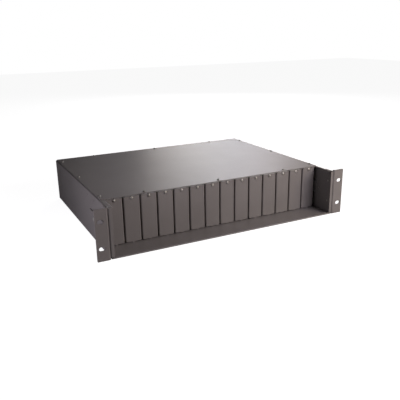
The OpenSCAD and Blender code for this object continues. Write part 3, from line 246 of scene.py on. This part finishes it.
class Shader(Tree):
    """A material with one principled surface, textured in the object's own coordinates."""

    def __init__(self, name, **values):
        self.material = bpy.data.materials.new(name)
        super().__init__(self.material)
        self.surface = self.add("ShaderNodeBsdfPrincipled")
        output = self.add("ShaderNodeOutputMaterial")
        self.link(self.surface.outputs["BSDF"], output.inputs["Surface"])
        self.place = self.add("ShaderNodeTexCoord").outputs["Object"]
        for key, value in values.items():
            self.surface.inputs[key.replace("_", " ")].default_value = value

    def noise(self, scale, octaves=SOME_OCTAVES, squeeze=EVEN):
        place = self.place
        if squeeze != EVEN:
            mapping = self.add("ShaderNodeMapping")
            mapping.inputs["Scale"].default_value = squeeze
            self.link(place, mapping.inputs["Vector"])
            place = mapping.outputs["Vector"]
        node = self.add("ShaderNodeTexNoise")
        node.inputs["Scale"].default_value = scale
        node.inputs["Detail"].default_value = octaves
        self.link(place, node.inputs["Vector"])
        return node.outputs["Fac"]

    def cells(self, scale):
        node = self.add("ShaderNodeTexVoronoi")
        node.inputs["Scale"].default_value = scale
        self.link(self.place, node.inputs["Vector"])
        return node.outputs["Color"]

    def ramp(self, source, low, high, start=NOISE_LOW, end=NOISE_HIGH):
        """A colour from low to high while the source goes from start to end."""
        node = self.add("ShaderNodeValToRGB")
        first, last = node.color_ramp.elements
        first.position, last.position = start, end
        first.color, last.color = (*low, 1.0), (*high, 1.0)
        self.link(source, node.inputs["Fac"])
        return node.outputs["Color"]

    def bump(self, source, relief, below=None):
        node = self.add("ShaderNodeBump")
        height, strength = relief
        node.inputs["Distance"].default_value = height
        node.inputs["Strength"].default_value = strength
        self.link(source, node.inputs["Height"])
        if below is not None:
            self.link(below, node.inputs["Normal"])
        return node.outputs["Normal"]

    def soft_edges(self, radius):
        node = self.add("ShaderNodeBevel")
        node.samples = EDGE_SAMPLES
        node.inputs["Radius"].default_value = radius
        return node.outputs["Normal"]

    def use(self, color, roughness, normal=None):
        """Link the finished textures to the surface and return the material."""
        self.link(color, self.surface.inputs["Base Color"])
        self.link(roughness, self.surface.inputs["Roughness"])
        if normal is not None:
            self.link(normal, self.surface.inputs["Normal"])
        return self.material


def powder_coat():
    """Satin powder coat: a fine orange-peel grain and a faint mottle over the sheet."""
    s = Shader("powder_coat", IOR=COAT_IOR)
    speck = s.noise(PAINT_SPECKS, FEW_OCTAVES)
    mottled = s.ramp(s.noise(PAINT_MOTTLE, MANY_OCTAVES), *PAINT)
    color = s.mix(SPECK_SHARE, mottled, s.ramp(speck, *PAINT_SPECK))
    grain = s.bump(s.noise(PAINT_GRAIN, FEW_OCTAVES), PAINT_GRAIN_RELIEF,
                   s.soft_edges(PAINT_EDGE))
    peel = s.bump(s.noise(PAINT_PEEL, PLAIN_OCTAVES), PAINT_PEEL_RELIEF, grain)
    return s.use(color, s.span(speck, *PAINT_ROUGH), peel)


def zinc_sheet():
    """Zinc-coated steel: spangles of slightly different brightness and a rolling grain."""
    s = Shader("zinc_sheet", Metallic=1.0)
    spangle = s.cells(ZINC_SPANGLES)
    rolled = s.noise(ZINC_ROLLING, squeeze=ROLLED_ALONG_Y)
    color = s.mix(SPANGLE_SHARE, s.ramp(rolled, *ZINC), s.ramp(spangle, *ZINC, 0.0, 1.0))
    return s.use(color, s.span(spangle, *ZINC_ROUGH, 0.0, 1.0),
                 s.bump(rolled, ZINC_RELIEF, s.soft_edges(WORN_EDGE)))


def nickel_plate():
    """Dull nickel on fasteners, with fine turning marks and a little haze."""
    s = Shader("nickel_plate", Metallic=1.0)
    haze = s.noise(NICKEL_HAZE)
    marks = s.noise(NICKEL_MARKS, FEW_OCTAVES)
    return s.use(s.ramp(haze, *NICKEL), s.span(haze, *NICKEL_ROUGH),
                 s.bump(marks, NICKEL_RELIEF))


def drawn_rod():
    """Satin steel rod of the handle, brushed along its length."""
    s = Shader("drawn_rod", Metallic=1.0)
    lines = s.noise(ROD_LINES, squeeze=DRAWN_ALONG_X)
    return s.use(s.ramp(lines, *ROD_STEEL), s.span(lines, *ROD_ROUGH),
                 s.bump(lines, ROD_RELIEF))


def moulded_plastic(name, dark, rough, grain):
    """Moulded plastic with a fine spark-eroded grain."""
    s = Shader(name, IOR=PLASTIC_IOR)
    light = tuple(c * FLOW_LIGHTER for c in dark)
    height = s.noise(grain, FEW_OCTAVES)
    return s.use(s.ramp(s.noise(PLASTIC_FLOW), dark, light), s.span(height, *rough),
                 s.bump(height, PLASTIC_RELIEF, s.soft_edges(WORN_EDGE)))


def lead_sleeve():
    """Soft black sleeve of the fan leads, with a faint mottled lustre."""
    s = Shader("lead_sleeve")
    mottle = s.noise(LEAD_MOTTLE)
    return s.use(s.ramp(mottle, BLACK, ROTOR_BLACK), s.span(mottle, *LEAD_ROUGH),
                 s.bump(mottle, LEAD_RELIEF))


def board_traces(s):
    """Square-cut traces in two shades, with gaps, on a board that stands upright."""
    brick = s.add("ShaderNodeTexBrick")
    brick.inputs["Scale"].default_value = BOARD_TRACES
    brick.inputs["Mortar Size"].default_value = TRACE_GAP_SIZE
    for key, color in zip(("Color1", "Color2", "Mortar"), (*TRACE, TRACE_GAP)):
        brick.inputs[key].default_value = (*color, 1.0)
    turn = s.add("ShaderNodeMapping")
    turn.inputs["Rotation"].default_value = (math.radians(90), 0.0, 0.0)
    s.link(s.place, turn.inputs["Vector"])
    s.link(turn.outputs["Vector"], brick.inputs["Vector"])
    return brick.outputs


def solder_mask():
    """Green solder mask: traces under a glossy film."""
    s = Shader("solder_mask", IOR=COAT_IOR, Coat_Weight=FILM_WEIGHT, Coat_Roughness=FILM_ROUGH)
    traces = board_traces(s)
    weave = s.noise(BOARD_THREADS, FEW_OCTAVES)
    color = s.mix(WEAVE_SHARE, traces["Color"], s.ramp(weave, *BOARD_WEAVE))
    return s.use(color, s.span(weave, *BOARD_ROUGH), s.bump(traces["Fac"], BOARD_RELIEF))


def transformer_tape():
    """Yellow winding tape with the edges of its turns, over a grey ferrite core."""
    s = Shader("transformer_tape")
    wave = s.add("ShaderNodeTexWave")
    wave.bands_direction = "Z"
    wave.inputs["Scale"].default_value = TAPE_TURNS
    wave.inputs["Distortion"].default_value = TAPE_WAVINESS
    s.link(s.place, wave.inputs["Vector"])
    turns = wave.outputs["Fac"]
    normal = s.add("ShaderNodeSeparateXYZ")
    s.link(s.add("ShaderNodeNewGeometry").outputs["Normal"], normal.inputs["Vector"])
    is_core = s.span(s.calc("ABSOLUTE", normal.outputs["Z"]), 0.0, 1.0, *CORE_FACING)
    core = s.ramp(s.noise(CORE_GRAIN), *CORE_GREY)
    return s.use(s.mix(is_core, s.ramp(turns, *TAPE_YELLOW), core), s.span(turns, *TAPE_ROUGH),
                 s.bump(turns, TAPE_RELIEF))


def capacitor_sleeve():
    """Shrunk dark sleeve with fine wrinkles."""
    s = Shader("capacitor_sleeve")
    wrinkle = s.noise(SLEEVE_WRINKLES, squeeze=WRINKLED_ALONG_Z)
    return s.use(s.ramp(wrinkle, *SLEEVE_BLUE), s.span(wrinkle, *SLEEVE_ROUGH),
                 s.bump(wrinkle, SLEEVE_RELIEF))


def extruded_aluminium():
    """Raw extruded aluminium with die lines."""
    s = Shader("extruded_aluminium", Metallic=1.0)
    lines = s.noise(ALUMINIUM_LINES, squeeze=DRAWN_ALONG_Y)
    return s.use(s.ramp(lines, *ALUMINIUM), s.span(lines, *ALUMINIUM_ROUGH),
                 s.bump(lines, ALUMINIUM_RELIEF))


def lamp_lens():
    """Tinted clear lens with a faint frost."""
    s = Shader("lamp_lens", IOR=COAT_IOR, Transmission_Weight=LENS_CLEARNESS)
    frost = s.noise(LENS_FROST, FEW_OCTAVES)
    return s.use(s.ramp(frost, *LENS_GREEN), s.span(frost, *LENS_ROUGH))


def dress(material, *names):
    for name in names:
        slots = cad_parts[name].data.materials
        slots.clear()
        slots.append(material)


def dress_sheet_metal():
    blanks = sorted(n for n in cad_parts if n.startswith("blank_") and n != "blank_screws")
    dress(powder_coat(), "base_tray", "top_cover", "rear_panel", "left_ear", "right_ear",
          "bay_cover", "module_face", "guide_screws", *blanks)
    dress(zinc_sheet(), "front_rail", "upper_guide", "guide_brackets", "bulkhead", "nut_plates",
          "bay_runners", "module_case", "module_lid")


def dress_metal_parts():
    dress(nickel_plate(), "cover_screws", "ear_screws", "board_screws", "fan_screws",
          "ground_screw", "blank_screws", "board_spacers", "fan_guards", "module_pins",
          "left_thumbscrew", "right_thumbscrew")
    dress(drawn_rod(), "module_handle")
    dress(extruded_aluminium(), "module_heatsinks")


def dress_plastics():
    dress(moulded_plastic("black_plastic", BLACK, HOUSING_ROUGH, HOUSING_GRAIN), "power_plugs",
          "guide_ribs", "bay_sockets", "left_fan_frame", "right_fan_frame", "module_inlet",
          "module_switch", "module_plug")
    dress(moulded_plastic("rotor_plastic", ROTOR_BLACK, ROTOR_ROUGH, ROTOR_GRAIN),
          "left_fan_rotor", "right_fan_rotor")
    dress(moulded_plastic("rocker_plastic", BLACK, ROCKER_ROUGH, ROCKER_GRAIN), "module_rocker")
    dress(lead_sleeve(), "fan_leads")
    dress(lamp_lens(), "module_lamp")


def dress_electronics():
    dress(solder_mask(), "backplane_board", "module_board")
    dress(transformer_tape(), "module_transformer")
    dress(capacitor_sleeve(), "module_capacitors")


def add_softbox(name, place, target, size, watts, color):
    data = bpy.data.lights.new(name, "AREA")
    data.shape = "RECTANGLE"
    data.size, data.size_y = size
    data.energy = watts
    data.color = color
    lamp = bpy.data.objects.new(name, data)
    bpy.context.scene.collection.objects.link(lamp)
    place, target = Vector(place), Vector(target)
    turn = (target - place).to_track_quat("-Z", "Y").to_matrix().to_4x4()
    lamp.matrix_world = Matrix.Translation(place) @ turn
    lamp.visible_camera = False


def make_world():
    """White to the camera; to mirrors a dim room, darker on its left; ambient elsewhere."""
    world = bpy.data.worlds.new("studio")
    bpy.context.scene.world = world
    t = Tree(world)
    ray = t.add("ShaderNodeLightPath").outputs
    axes = t.add("ShaderNodeSeparateXYZ")
    t.link(t.add("ShaderNodeTexCoord").outputs["Generated"], axes.inputs["Vector"])
    room = t.span(axes.outputs["X"], GLOSSY_DARK, GLOSSY_LIGHT, ROOM_LEFT, ROOM_RIGHT)
    mirrored = t.calc("MAXIMUM", ray["Is Glossy Ray"], ray["Is Transmission Ray"])
    unseen = t.mix(mirrored, AMBIENT, room, "Float")
    background = t.add("ShaderNodeBackground")
    background.inputs["Color"].default_value = (*WHITE, 1.0)
    t.link(t.mix(ray["Is Camera Ray"], unseen, 1.0, "Float"), background.inputs["Strength"])
    output = t.add("ShaderNodeOutputWorld")
    t.link(background.outputs["Background"], output.inputs["Surface"])


def floor_material():
    """Floor that is nearly white to the camera and keeps a faint shadow."""
    material = bpy.data.materials.new("floor")
    t = Tree(material)
    plain = t.add("ShaderNodeBsdfDiffuse")
    plain.inputs["Color"].default_value = (*FLOOR_COLOR, 1.0)
    glow = t.add("ShaderNodeEmission")
    glow.inputs["Color"].default_value = (*WHITE, 1.0)
    seen = t.add("ShaderNodeLightPath").outputs["Is Camera Ray"]
    t.link(t.calc("MULTIPLY", seen, FLOOR_GLOW), glow.inputs["Strength"])
    both = t.add("ShaderNodeAddShader")
    t.link(plain.outputs["BSDF"], both.inputs[0])
    t.link(glow.outputs["Emission"], both.inputs[1])
    output = t.add("ShaderNodeOutputMaterial")
    t.link(both.outputs["Shader"], output.inputs["Surface"])
    return material


def make_floor():
    half = FLOOR_SIZE / 2
    square = ((-half, -half), (half, -half), (half, half), (-half, half))
    mesh = bpy.data.meshes.new("floor")
    mesh.from_pydata([(x, y, -FLOOR_DROP) for x, y in square], [], [(0, 1, 2, 3)])
    mesh.materials.append(floor_material())
    floor = bpy.data.objects.new("floor", mesh)
    bpy.context.scene.collection.objects.link(floor)


make_camera()
dress_sheet_metal()
dress_metal_parts()
dress_plastics()
dress_electronics()
make_world()
make_floor()
for softbox in SOFTBOXES:
    add_softbox(*softbox)
bpy.context.scene.view_settings.view_transform = "Standard"
